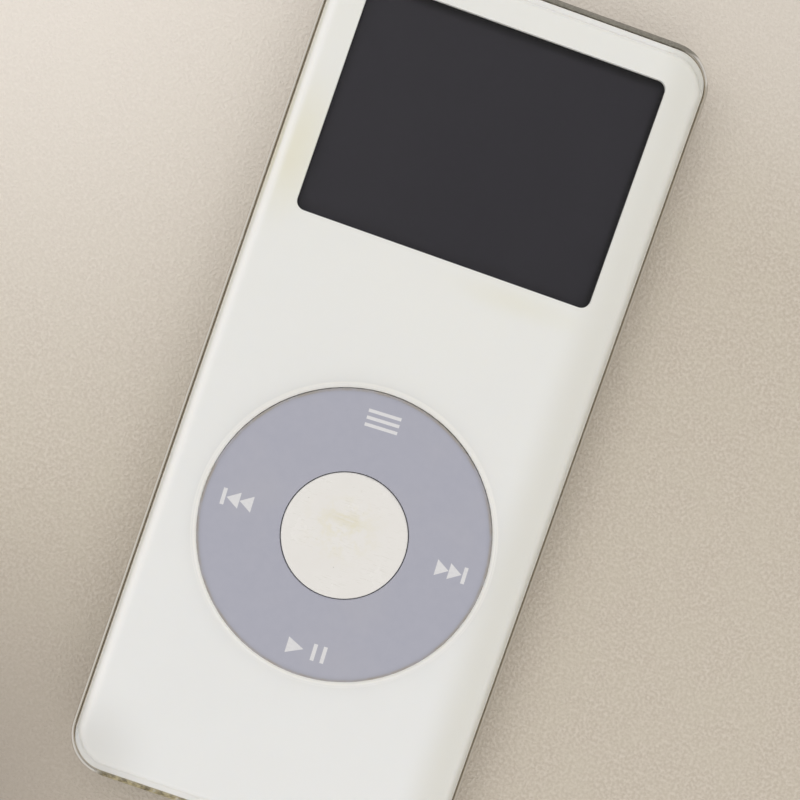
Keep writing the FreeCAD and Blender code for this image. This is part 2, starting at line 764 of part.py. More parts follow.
def make_seat_plate():
    """Stamped plate that closes the wheel module, screwed to the white front."""
    body = new_body("seat_plate_body", y="dim.wheel_y", z="dim.seat_z")
    outline = new_sketch(body, "seat_outline", "XY_Plane")
    half_w = "dim.board_hw - 0.2"
    half_l = "dim.flange_r + 0.3"
    add_polygon(
        outline,
        [
            (f"-({half_w})", f"-({half_l})"),
            (half_w, f"-({half_l})"),
            (half_w, half_l),
            (f"-({half_w})", half_l),
        ],
    )
    pad(body, outline, "dim.seat_t")
    fillet_body(body, "1", is_upright)
    holes = new_sketch(body, "seat_holes", "XY_Plane")
    for side in (-1, 1):
        for end in (-1, 1):
            add_circle(holes, f"{side} * dim.seat_screw_x", f"{end} * dim.seat_screw_y", "dim.screw_hole_r")
    pocket_through(body, holes)
    nub_x = "(dim.rocker_in + dim.rocker_out) / 2"
    nub_z = ("dim.seat_z + dim.seat_t", "dim.rocker_z - 0.03")
    nubs = [
        cylinder(f"seat_nub_{side}", f"{sign} * {nub_x}", "dim.wheel_y", nub_z, "dim.nub_r")
        for side, sign in (("right", 1), ("left", -1))
    ]
    keep(fuse("wheel_seat_plate", body, *nubs), "wheel_seat_plate")


def make_switch_flex():
    """Flexible circuit on the seat plate, with a tail down to its socket on the logic board."""
    z_range = ("dim.seat_z + dim.seat_t", "dim.seat_z + dim.seat_t + dim.lead_t")
    beyond = ("dim.seat_z", "dim.seat_z + 1")
    outer = cylinder("flex_outer", "0", "dim.wheel_y", z_range, "dim.flange_r - 0.3")
    inner = cylinder("flex_inner", "0", "dim.wheel_y", beyond, "dim.dome_ring_r - dim.dome_r - 0.3")
    centre = cylinder("flex_centre", "0", "dim.wheel_y", z_range, "2.6")
    arm = box("flex_arm", ("-1.5", "1.5"), ("dim.wheel_y - 13", "dim.wheel_y"), z_range)
    socket_top = "dim.board_z + dim.board_t + 0.5"
    tail = [
        box("flex_tail", ("-10", "-6"), ("-31.3", "dim.wheel_y - 13"), z_range),
        box("flex_drop", ("-10", "-6"), ("-31.3", "-31.2"), (socket_top, z_range[1])),
        box("flex_end", ("-10", "-6"), ("-33.2", "-31.2"), (socket_top, f"{socket_top} + 0.1")),
    ]
    ring = cut("flex_ring", outer, inner)
    keep(fuse("wheel_switch_flex", ring, centre, arm, *tail), "wheel_switch_flex")


def make_dome(name, x, y):
    """A snap dome with its actuator nub."""
    base = "dim.seat_z + dim.seat_t + dim.lead_t"
    dome = cone(name + "_dome", x, y, (base, f"{base} + 0.3"), "dim.dome_r", "dim.dome_r / 2")
    nub = cylinder(name + "_nub", x, y, (f"{base} + 0.3", f"{base} + dim.dome_high"), "0.6")
    return fuse(name, dome, nub)


def make_domes():
    domes = [
        make_dome(f"dome_{name}", "0", f"dim.wheel_y + {sign} * dim.dome_ring_r")
        for name, sign in (("menu", 1), ("play", -1))
    ]
    keep(group("menu_play_domes", domes), "menu_play_domes")
    domes = [
        make_dome(f"dome_{name}", f"{sign} * dim.dome_ring_r", "dim.wheel_y")
        for name, sign in (("next", 1), ("previous", -1))
    ]
    keep(group("skip_domes", domes), "skip_domes")
    keep(make_dome("select_dome", "0", "dim.wheel_y"), "select_dome")


# Display


def display_layer(name, half_w, under, over, z_range):
    """A flat layer that reaches past the window by under and over along the body."""
    y_range = (f"dim.window_low - ({under})", f"dim.window_high + ({over})")
    return box(name, (f"-({half_w})", half_w), y_range, z_range)


def make_display():
    """Glass with its film, backlight, steel tray and the foam frame behind the window."""
    glass = ("dim.glass_z", "dim.glass_top")
    film = ("dim.glass_top", "dim.glass_top + dim.film_t")
    light = ("dim.tray_z + dim.tray_floor", "dim.glass_z")
    foam = (film[1], "dim.body_t - dim.clear_t - dim.bond_gap - dim.white_t")
    panel = display_layer("display_panel", "dim.glass_hw", "dim.glass_under", "dim.glass_over", glass)
    keep(panel, "display_panel")
    polarizer = display_layer("display_polarizer", "dim.film_hw", "dim.film_under", "dim.film_over", film)
    keep(polarizer, "display_polarizer")
    backlight = display_layer("display_backlight", "dim.light_hw", "dim.light_under", "dim.light_over", light)
    keep(backlight, "display_backlight")
    foam_outside = display_layer("foam_outside", "dim.foam_hw", "dim.foam_under", "dim.foam_over", foam)
    foam_inside = display_layer(
        "foam_inside",
        "dim.window_hw + dim.foam_inset",
        "dim.foam_inset",
        "dim.foam_inset",
        (f"{foam[0]} - 1", f"{foam[1]} + 1"),
    )
    keep(cut("display_gasket", foam_outside, foam_inside), "display_gasket")
    tray_outside = display_layer(
        "tray_outside", "dim.tray_hw", "dim.tray_under", "dim.tray_over", ("dim.tray_z", "dim.tray_top")
    )
    tray_hollow = display_layer(
        "tray_hollow",
        "dim.tray_hw - dim.tray_wall",
        "dim.tray_under + 0.7",
        "dim.tray_over - dim.tray_wall",
        ("dim.tray_z + dim.tray_floor", "dim.tray_top + 1"),
    )
    keep(cut("display_frame", tray_outside, tray_hollow), "display_frame")


def make_display_flex():
    """Flexible circuit from the lower edge of the glass down to its connector."""
    top = "dim.board_z + dim.board_t + 0.55"
    across = ("-dim.lead_hw", "dim.lead_hw")
    drop = ("dim.lead_drop_y", "dim.lead_drop_y + dim.lead_t")
    level = ("dim.glass_z - dim.lead_t", "dim.glass_z")
    parts = [
        box("lead_upper", across, ("dim.lead_drop_y", "dim.lead_start_y"), level),
        box("lead_drop", across, drop, (top, "dim.glass_z")),
        box("lead_lower", across, ("dim.lead_end_y", drop[1]), (top, f"{top} + dim.lead_t")),
    ]
    keep(fuse("display_flex", *parts), "display_flex")
    socket = box(
        "display_connector",
        ("-dim.lead_hw - 0.5", "dim.lead_hw + 0.5"),
        ("dim.lead_end_y - 0.2", "dim.lead_end_y + 2.6"),
        ("dim.board_z + dim.board_t", top),
    )
    keep(socket, "display_connector")


# Electronics


def make_logic_board():
    body = new_body("logic_board", z="dim.board_z")
    outline = new_sketch(body, "board_outline", "XY_Plane")
    add_polygon(
        outline,
        [
            ("-dim.board_hw", "dim.board_low"),
            ("dim.board_step_x", "dim.board_low"),
            ("dim.board_step_x", "dim.board_step_y"),
            ("dim.board_hw", "dim.board_step_y"),
            ("dim.board_hw", "dim.board_high"),
            ("-dim.board_hw", "dim.board_high"),
        ],
    )
    pad(body, outline, "dim.board_t")
    holes = new_sketch(body, "board_holes", "XY_Plane")
    for x, y in board_screw_places():
        add_circle(holes, x, y, "dim.screw_hole_r")
    pocket_through(body, holes)
    keep(body, "logic_board")


def under_board(thickness):
    return (f"dim.board_z - {thickness}", "dim.board_z")


def on_board(thickness):
    return ("dim.board_z + dim.board_t", f"dim.board_z + dim.board_t + {thickness}")


def chip_rows(name, counts, start, pitch, height):
    """Small parts, 1 x 0.5 mm, in a grid on the board's upper face."""
    columns, rows = counts
    return [
        chip(
            f"{name}_{row}_{column}",
            str(start[0] + pitch[0] * column),
            str(start[1] + pitch[1] * row),
            "1",
            "0.5",
            on_board(height),
        )
        for row in range(rows)
        for column in range(columns)
    ]


def make_board_parts():
    """Chips, passives and sockets on both faces of the logic board."""
    keep(chip("processor", "-8.5", "-9", "12", "12", under_board(1.2)), "processor")
    keep(chip("sdram", "-10", "2.2", "8", "8", under_board(1.0)), "sdram")
    keep(chip("audio_codec", "-5", "-20", "5", "5", under_board(0.9)), "audio_codec")
    keep(chip("power_manager", "-12.5", "-20", "6", "6", under_board(0.9)), "power_manager")
    flash = [
        chip(f"flash_{row}", "10", y, "12", "16", under_board(1.15)) for row, y in enumerate(("-2.5", "-20.5"))
    ]
    keep(group("flash_memory", flash), "flash_memory")
    coils = [chip(f"coil_{x + 13}", str(x), "-29", "3", "3", under_board(1.0)) for x in (-13, -8, -3)]
    keep(group("power_inductors", coils), "power_inductors")
    can = chip("can_outside", "-12.5", "-20", "9", "9", under_board(1.4))
    can_hollow = chip("can_hollow", "-12.5", "-20", "8.7", "8.7", ("dim.board_z - 1.25", "dim.board_z + 1"))
    keep(cut("shield_can", can, can_hollow), "shield_can")
    capacitors = chip_rows("capacitor", (8, 2), (-12, -3), (2.5, -2), 0.5)
    keep(group("board_capacitors", capacitors), "board_capacitors")
    resistors = chip_rows("resistor", (10, 2), (-8, -22), (1.8, -1.6), 0.35)
    keep(group("board_resistors", resistors), "board_resistors")
    keep(chip("crystal", "13", "-14", "3.2", "2.5", on_board(0.55)), "crystal")
    keep(chip("wheel_connector", "-8", "-32.2", "5", "2.2", on_board(0.5)), "wheel_connector")
    sheet_z = ("dim.floor_t", "dim.floor_t + 0.08")
    keep(box("insulator_sheet", ("-16", "16"), ("-34", "8"), sheet_z), "insulator_sheet")


def make_battery():
    """Flat pouch cell with its protection board, three leads and their socket."""
    bottom = "dim.floor_t + dim.pad_t"
    keep(
        box("battery_pad", ("-12", "12"), ("dim.cell_low + 3", "dim.cell_high - 3"), ("dim.floor_t", bottom)),
        "battery_pad",
    )
    cell_y = ("dim.cell_low", "dim.cell_high")
    block = box("cell_block", ("-dim.cell_hw", "dim.cell_hw"), cell_y, (bottom, "dim.cell_top"))
    keep(round_edges("battery_cell", block, "0.7", lambda edge: True), "battery_cell")
    keep(
        box("protection_board", ("-6", "6"), ("dim.cell_low - 0.9", "dim.cell_low"), ("1.1", "2.3")),
        "protection_board",
    )
    leads = [
        rod(f"lead_{side + 2}", str(side), "1.75", ("6.5", "dim.cell_low - 0.9"), "0.35") for side in (-2, 0, 2)
    ]
    keep(group("battery_leads", leads), "battery_leads")
    keep(box("battery_connector", ("-3.2", "3.2"), ("3.5", "6.5"), under_board(1.1)), "battery_connector")


# Sockets


def make_dock_socket():
    """Shell, tongue and contacts of the wide socket in the lower end."""
    front = "-dim.case_l / 2 + 0.7"
    back = f"{front} + dim.dock_depth"
    half_w = "dim.dock_w / 2"
    half_t = "dim.dock_t / 2"

    def tube(name, y_range, wall):
        return box(
            name,
            (f"dim.dock_x - {half_w} - {wall}", f"dim.dock_x + {half_w} + {wall}"),
            y_range,
            (f"dim.dock_z - {half_t} - {wall}", f"dim.dock_z + {half_t} + {wall}"),
        )

    shell = tube("dock_outside", (front, back), "dim.dock_wall")
    hollow = tube("dock_hollow", (f"{front} - 1", f"{back} + 1"), "0")
    keep(cut("dock_shell", shell, hollow), "dock_shell")
    tongue_top = "dim.dock_z + 0.45"
    tongue = box(
        "dock_tongue",
        ("dim.dock_x - 9.75", "dim.dock_x + 9.75"),
        (f"{front} + 0.9", f"{back} - 2"),
        ("dim.dock_z - 0.45", tongue_top),
    )
    heel = box(
        "dock_heel",
        (f"dim.dock_x - {half_w}", f"dim.dock_x + {half_w}"),
        (f"{back} - 2", f"{back} - 0.2"),
        (f"dim.dock_z - {half_t}", tongue_top),
    )
    keep(fuse("dock_insulator", tongue, heel), "dock_insulator")
    contacts = []
    for index in range(DOCK_CONTACTS):
        left = f"dim.dock_x + {index - DOCK_CONTACTS / 2 + 0.5} * dim.contact_pitch - 0.15"
        across = (left, f"{left} + 0.3")
        tail = "dim.board_low + 0.8"
        blade_y = (f"{front} + 1.1", tail)
        blade = box(f"contact_blade_{index}", across, blade_y, (tongue_top, f"{tongue_top} + 0.1"))
        foot_y = (f"{tail} - 0.6", tail)
        foot = box(f"contact_foot_{index}", across, foot_y, ("dim.board_z + dim.board_t", tongue_top))
        contacts.append(fuse(f"contact_{index}", blade, foot))
    keep(group("dock_contacts", contacts), "dock_contacts")


def make_headphone_jack():
    """Moulded jack with a nose in the tub's hole, and three contact springs beside the bore."""
    face = "-dim.case_l / 2"
    end = f"{face} + dim.jack_depth"
    nose = rod("jack_nose", "dim.jack_x", "dim.jack_z", (face, f"{face} + 2"), "dim.jack_nose_r")
    block = box(
        "jack_block",
        ("dim.jack_x - dim.jack_block / 2", "dim.jack_x + dim.jack_block / 2"),
        (f"{face} + 1.2", f"{end} + 0.5"),
        ("dim.jack_z - 2.2", "dim.jack_z + 2.15"),
    )
    bore = rod("jack_bore", "dim.jack_x", "dim.jack_z", (f"{face} - 1", end), "dim.jack_bore_r")
    springs = []
    slots = []
    for index, (side, start) in enumerate(((1, 2.2), (-1, 5.4), (1, 8.6))):
        middle = f"dim.jack_x + {side} * 2.05"
        spring_y = (f"{face} + {start}", f"{face} + {start + 2.8}")
        slot_y = (f"{spring_y[0]} - 0.05", f"{spring_y[1]} + 0.05")
        height = ("dim.jack_z - 0.4", "dim.jack_z + 0.4")
        springs.append(box(f"jack_spring_{index}", (f"{middle} - 0.1", f"{middle} + 0.1"), spring_y, height))
        slot_height = (f"{height[0]} - 0.05", f"{height[1]} + 0.05")
        slots.append(box(f"jack_slot_{index}", (f"{middle} - 0.4", f"{middle} + 0.4"), slot_y, slot_height))
    keep(cut("jack_body", fuse("jack_moulding", nose, block), bore, *slots), "jack_body")
    keep(group("jack_contacts", springs), "jack_contacts")


# Hold switch


def make_hold_switch():
    """Bezel in the upper end, sliding cap with its stem, indicator, switch and flexible lead."""
    end = "dim.case_l / 2"
    floor_y = f"{end} - 1"
    x = "dim.hold_x"
    z = "dim.hold_z"
    bezel_y = (f"{end} - 1.6", f"{end} - 0.05")
    bezel = chip_along_y("bezel_block", x, z, "dim.hold_w - 0.04", "dim.hold_t - 0.04", bezel_y)
    recess = chip_along_y("bezel_recess", x, z, "dim.hold_w - 0.8", "dim.hold_t - 0.7", (floor_y, f"{end} + 1"))
    slot = chip_along_y("bezel_slot", "dim.slider_x + 0.9", z, "3.4", "0.9", (f"{end} - 3", f"{end} + 1"))
    keep(cut("hold_bezel", bezel, recess, slot), "hold_bezel")
    patch = chip_along_y("hold_indicator", f"{x} - 2.85", z, "1.3", "1.2", (floor_y, f"{floor_y} + 0.08"))
    keep(patch, "hold_indicator")

    body = new_body("slider_cap", "dim.slider_x", end, z)
    outline = new_sketch(body, "slider_outline", "XZ_Plane", "-dim.slider_proud")
    half_w = "dim.slider_w / 2"
    half_t = "(dim.hold_t - 0.84) / 2"
    corners = [(-1, -1), (1, -1), (1, 1), (-1, 1)]
    add_polygon(outline, [(f"{u} * {half_w}", f"{v} * {half_t}") for u, v in corners])
    pad(body, outline, "dim.slider_proud + 0.82")
    fillet_body(body, "0.25", is_along_y)
    groove_y = (f"{end} + 0.13", f"{end} + 1")
    grooves = [
        chip_along_y(f"groove_{i + 2}", f"dim.slider_x + {i} * dim.groove_pitch", z, "0.22", "3", groove_y)
        for i in range(-2, 3)
    ]
    stem = chip_along_y("slider_stem", "dim.slider_x", z, "1.2", "0.6", (f"{end} - 2.1", f"{end} - 0.6"))
    keep(fuse("hold_slider", cut("slider_grip", body, *grooves), stem), "hold_slider")

    lever = chip_along_y("hold_lever", "dim.slider_x", z, "1", "0.6", (f"{end} - 3.2", f"{end} - 2.1"))
    keep(lever, "hold_lever")
    switch = box("switch_block", (f"{x} - 3.5", f"{x} + 3"), (f"{end} - 4.6", f"{end} - 2.1"), ("1.6", "2.95"))
    channel = chip_along_y("switch_channel", "dim.slider_x + 0.9", z, "3.4", "0.7", (f"{end} - 3.3", end))
    keep(cut("hold_switch", switch, channel), "hold_switch")
    top = "dim.board_z + dim.board_t"
    keep(box("hold_flex", ("-14.4", "-13.2"), ("6", f"{end} - 3.4"), (top, f"{top} + 0.1")), "hold_flex")


def chip_along_y(name, x, z, size_x, size_z, y_range):
    """A block centred at x, z."""
    x_range = (f"({x}) - ({size_x}) / 2", f"({x}) + ({size_x}) / 2")
    z_range = (f"({z}) - ({size_z}) / 2", f"({z}) + ({size_z}) / 2")
    return box(name, x_range, y_range, z_range)


def is_along_y(edge):
    return abs(edge.tangentAt(edge.FirstParameter).y) > 0.5


def check_document():
    """Stop on a failed object or a bad shape, which recompute lets pass silently."""
    for part in PLAYER.Objects:
        if "Invalid" in part.State or "Error" in part.State:
            raise RuntimeError(f"{part.Name} failed: {part.State}")
    for part in SUBPARTS:
        if part.Shape.isNull() or not part.Shape.isValid() or not part.Shape.Solids:
            raise RuntimeError(f"{part.Label} has no valid shape")


def main():
    make_rear_case()
    make_case_clips()
    make_seam_seal()
    make_front_cover()
    make_front_backing()
    make_inner_frame()
    make_touch_wheel()
    make_select_button()
    make_sensor_board()
    make_rocker_ring()
    make_seat_plate()
    make_switch_flex()
    make_domes()
    make_screws("seat_screws", seat_screw_places(), "dim.seat_z", "1.6")
    make_display()
    make_display_flex()
    make_logic_board()
    make_screws("board_screws", board_screw_places(), "dim.board_z", "1.1")
    make_board_parts()
    make_battery()
    make_dock_socket()
    make_headphone_jack()
    make_hold_switch()
    PLAYER.recompute()
    check_document()
    os.makedirs("parts", exist_ok=True)
    for part in SUBPARTS:
        part.Shape.exportStep(f"parts/{part.Label}.step")
        print(f"{part.Label}: {len(part.Shape.Solids)} solid(s), {part.Shape.Volume:.2f} mm3")


main()
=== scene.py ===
"""Looks of a flat pocket audio player: glossy clear-over-white front, touch wheel, polished steel back.

Everything is in metres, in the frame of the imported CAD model: +X right, +Y towards the display end,
+Z out of the front face. The player lies on its back on a pale table.
"""
import json
import math

import bmesh
import bpy
from mathutils import Matrix, Vector


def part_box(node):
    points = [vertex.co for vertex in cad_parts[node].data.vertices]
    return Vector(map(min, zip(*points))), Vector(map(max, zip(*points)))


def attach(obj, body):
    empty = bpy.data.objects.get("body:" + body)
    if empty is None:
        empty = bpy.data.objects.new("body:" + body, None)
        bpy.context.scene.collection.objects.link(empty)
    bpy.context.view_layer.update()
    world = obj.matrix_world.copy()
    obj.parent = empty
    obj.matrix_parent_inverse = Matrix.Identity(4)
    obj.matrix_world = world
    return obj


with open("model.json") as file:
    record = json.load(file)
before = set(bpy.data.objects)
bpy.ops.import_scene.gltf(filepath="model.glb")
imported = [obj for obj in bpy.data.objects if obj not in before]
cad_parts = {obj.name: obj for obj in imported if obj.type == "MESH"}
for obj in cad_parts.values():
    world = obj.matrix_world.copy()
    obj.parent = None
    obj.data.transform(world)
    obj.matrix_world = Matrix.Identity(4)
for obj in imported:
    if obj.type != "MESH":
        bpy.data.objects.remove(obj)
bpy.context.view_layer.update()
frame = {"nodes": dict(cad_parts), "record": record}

MM = 0.001
nodes = frame["nodes"]
scene = bpy.context.scene

# Places that come from the CAD model
CASE_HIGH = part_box("rear_case")[1]
FRONT_LOW, FRONT_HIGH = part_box("front_cover")
BUTTON_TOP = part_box("select_button")[1].z
WHEEL_LOW, WHEEL_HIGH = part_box("touch_wheel")
WHEEL_CENTRE = Vector(((WHEEL_LOW.x + WHEEL_HIGH.x) / 2, (WHEEL_LOW.y + WHEEL_HIGH.y) / 2, WHEEL_HIGH.z))

# Walls of the clear moulding and of the steel tub
CLEAR_TOP = 0.7 * MM
CLEAR_WALL = 0.5 * MM
STEEL_SIDE = 0.4 * MM
STEEL_END = 0.65 * MM

# The hollow of the clear moulding, which the white core fills, and the inner edge of the steel lip. Both are
# rounded blocks: half sizes and a corner radius seen from above.
CORE_TOP = FRONT_HIGH.z - CLEAR_TOP
CORE_HALF = (FRONT_HIGH.x - CLEAR_WALL, FRONT_HIGH.y - CLEAR_WALL)
CORE_CORNER = 3.4 * MM
LIP_HALF = (CASE_HIGH.x - STEEL_SIDE, CASE_HIGH.y - STEEL_END)
LIP_CORNER = 4.05 * MM

# Spots of colour on the front reach this far up and down, so that small steps in height don't show in them
SPOT_DEPTH = 9 * MM

# Depth of surface relief, and widths of fine marks
FINE_RELIEF = 0.004 * MM
FAINT_RELIEF = 0.002 * MM
HAIRLINE = 0.05 * MM
SCUFF_WIDTH = 0.06 * MM
ROLLING_MARK = 0.08 * MM

# Faces of the clear moulding this close to what is under it count as touching it
CONTACT_GAP = 0.01 * MM

TABLE_GAP = 0.02 * MM
TABLE_SIZE = 1.5


# Camera and light


def aim(thing, place, target, up):
    """Put thing at place, looking along its own -Z at target, with up as the top of its picture."""
    back = (place - target).normalized()
    side = up.cross(back).normalized()
    top = back.cross(side)
    turn = Matrix((side, top, back)).transposed().to_4x4()
    thing.matrix_world = Matrix.Translation(place) @ turn


def add_camera():
    """Almost straight above, turned so that the player leans to the left."""
    camera_data = bpy.data.cameras.new("camera")
    camera_data.lens = 45
    camera_data.sensor_width = 36
    camera_data.clip_start = 0.005
    camera_data.clip_end = 10
    camera = bpy.data.objects.new("camera", camera_data)
    scene.collection.objects.link(camera)
    roll = math.radians(19.32)
    place = Vector((-1.391, 4.184, 106.702)) * MM
    target = Vector((0.754, 1.648, 6.9)) * MM
    aim(camera, place, target, Vector((-math.sin(roll), math.cos(roll), 0)))
    scene.camera = camera


def add_area_light(name, place, size, power, colour):
    """A rectangle of light aimed at the origin, which mirrors don't show."""
    light_data = bpy.data.lights.new(name, "AREA")
    light_data.shape = "RECTANGLE"
    light_data.size, light_data.size_y = size
    light_data.energy = power
    light_data.color = colour
    light = bpy.data.objects.new(name, light_data)
    scene.collection.objects.link(light)
    aim(light, Vector(place), Vector((0, 0, 0)), Vector((0, 0.1, 1)))
    light.visible_glossy = False


def add_lights():
    """A broad softbox high on the left of the display end and a weak fill across from it.

    The room is dim straight overhead.
    """
    world = bpy.data.worlds.new("room")
    world.use_nodes = True
    tree = world.node_tree
    backdrop = tree.nodes["Background"]
    direction = tree.nodes.new("ShaderNodeTexCoord")
    height = tree.nodes.new("ShaderNodeSeparateXYZ")
    strength = tree.nodes.new("ShaderNodeMapRange")
    strength.interpolation_type = "SMOOTHSTEP"
    for key, number in (("From Min", 0.70), ("From Max", 0.94), ("To Min", 0.79), ("To Max", 0.26)):
        strength.inputs[key].default_value = number
    tree.links.new(direction.outputs["Generated"], height.inputs[0])
    tree.links.new(height.outputs["Z"], strength.inputs["Value"])
    tree.links.new(strength.outputs["Result"], backdrop.inputs["Strength"])
    backdrop.inputs["Color"].default_value = (1.0, 0.975, 0.94, 1)
    scene.world = world
    add_area_light("softbox", (-0.36, 0.34, 0.80), size=(1.4, 0.8), power=3.9, colour=(1.0, 0.99, 0.98))
    add_area_light("fill", (0.36, -0.56, 0.50), size=(1.0, 1.0), power=2.0, colour=(1.0, 0.985, 0.965))


# Node graphs


class Graph:
    """A material's node tree, built a node at a time."""

    def __init__(self, name):
        self.material = bpy.data.materials.new(name)
        self.material.use_nodes = True
        self.tree = self.material.node_tree
        self.tree.nodes.clear()
        self.output = self.tree.nodes.new("ShaderNodeOutputMaterial")
        self.place = self.node("ShaderNodeTexCoord").outputs["Object"]

    def node(self, kind, settings=None, **inputs):
        """A new node. Inputs are values or sockets, by name with _ for a space."""
        made = self.tree.nodes.new(kind)
        for key, value in (settings or {}).items():
            setattr(made, key, value)
        for key, value in inputs.items():
            self.feed(made.inputs[key.replace("_", " ")], value)
        return made

    def feed(self, socket, value):
        if isinstance(value, bpy.types.NodeSocket):
            self.tree.links.new(value, socket)
        elif isinstance(value, tuple) and len(value) == 3 and socket.type == "RGBA":
            socket.default_value = (*value, 1)
        else:
            socket.default_value = value

    def math(self, operation, first, second=0.0, clamp=False):
        made = self.node("ShaderNodeMath", {"operation": operation, "use_clamp": clamp})
        self.feed(made.inputs[0], first)
        self.feed(made.inputs[1], second)
        return made.outputs[0]

    def times(self, first, *others):
        """The product of two or more values."""
        for other in others:
            first = self.math("MULTIPLY", first, other)
        return first

    def most(self, first, second):
        """The larger of two values."""
        return self.math("MAXIMUM", first, second)

    def ramp(self, value, low, high, low_value=0.0, high_value=1.0):
        """Smooth step from low_value at low to high_value at high."""
        made = self.node("ShaderNodeMapRange", {"interpolation_type": "SMOOTHSTEP"}, Value=value)
        ends = {"From Min": low, "From Max": high, "To Min": low_value, "To Max": high_value}
        for key, number in ends.items():
            made.inputs[key].default_value = number
        return made.outputs["Result"]

    def fall(self, value, low, high):
        """Smooth step down: 1 below low, 0 above high."""
        return self.ramp(value, low, high, 1.0, 0.0)

    def mix(self, share, first, second):
        made = self.node("ShaderNodeMix", {"data_type": "RGBA"})
        self.feed(made.inputs["Factor"], share)
        self.feed(made.inputs[6], first)
        self.feed(made.inputs[7], second)
        return made.outputs[2]

    def tint(self, colour, mask, share, paint):
        """colour, moved towards paint by share where mask is 1."""
        return self.mix(self.times(mask, share), colour, paint)

    def noise(self, size, detail=3.0, roughness=0.5, place=None, distortion=0.0):
        """Noise whose features are about size metres wide."""
        made = self.node(
            "ShaderNodeTexNoise",
            Vector=place or self.place,
            Scale=1 / size,
            Detail=detail,
            Roughness=roughness,
            Distortion=distortion,
        )
        return made.outputs["Fac"]

    def stretched(self, scale, turn=0.0):
        """Object coordinates, turned about Z and then scaled."""
        made = self.node("ShaderNodeMapping", Vector=self.place)
        made.inputs["Rotation"].default_value = (0, 0, turn)
        made.inputs["Scale"].default_value = scale
        return made.outputs["Vector"]

    def axis(self, letter):
        return self.node("ShaderNodeSeparateXYZ", Vector=self.place).outputs[letter]

    def rim_distance(self, half, corner):
        """How far outside an upright rounded block a point is, seen from above; negative inside."""
        size = self.node("ShaderNodeVectorMath", {"operation": "ABSOLUTE"})
        self.feed(size.inputs[0], self.place)
        past = self.node("ShaderNodeVectorMath", {"operation": "SUBTRACT"})
        self.feed(past.inputs[0], size.outputs[0])
        taller_than_all = 1.0
        past.inputs[1].default_value = (half[0] - corner, half[1] - corner, taller_than_all)
        clipped = self.node("ShaderNodeVectorMath", {"operation": "MAXIMUM"})
        self.feed(clipped.inputs[0], past.outputs[0])
        clipped.inputs[1].default_value = (0, 0, 0)
        length = self.node("ShaderNodeVectorMath", {"operation": "LENGTH"})
        self.feed(length.inputs[0], clipped.outputs[0])
        return self.math("SUBTRACT", length.outputs["Value"], corner)

    def spot(self, centre, radii):
        """1 at centre, falling smoothly to 0 at the radii of an ellipsoid."""
        shifted = self.node("ShaderNodeVectorMath", {"operation": "SUBTRACT"})
        self.feed(shifted.inputs[0], self.place)
        shifted.inputs[1].default_value = centre
        scaled = self.node("ShaderNodeVectorMath", {"operation": "DIVIDE"})
        self.feed(scaled.inputs[0], shifted.outputs[0])
        scaled.inputs[1].default_value = radii
        length = self.node("ShaderNodeVectorMath", {"operation": "LENGTH"})
        self.feed(length.inputs[0], scaled.outputs[0])
        return self.fall(length.outputs["Value"], 0.0, 1.0)

    def specks(self, spacing, share, radius):
        """Sparse round specks: 1 inside a speck. share is how many cells hold one."""
        cells = self.node("ShaderNodeTexVoronoi", Vector=self.place, Scale=1 / spacing)
        near = self.fall(cells.outputs["Distance"], radius * 0.6, radius)
        chosen = self.node("ShaderNodeSeparateColor", Color=cells.outputs["Color"]).outputs[0]
        return self.times(near, self.math("LESS_THAN", chosen, share))

    def bump(self, height, distance, strength=1.0):
        made = self.node("ShaderNodeBump", Height=height, Strength=strength, Distance=distance)
        return made.outputs["Normal"]

    def principled(self, **inputs):
        return self.node("ShaderNodeBsdfPrincipled", **inputs)

    def finish(self, shader):
        self.feed(self.output.inputs["Surface"], shader.outputs[0])
        return self.material


# Materials


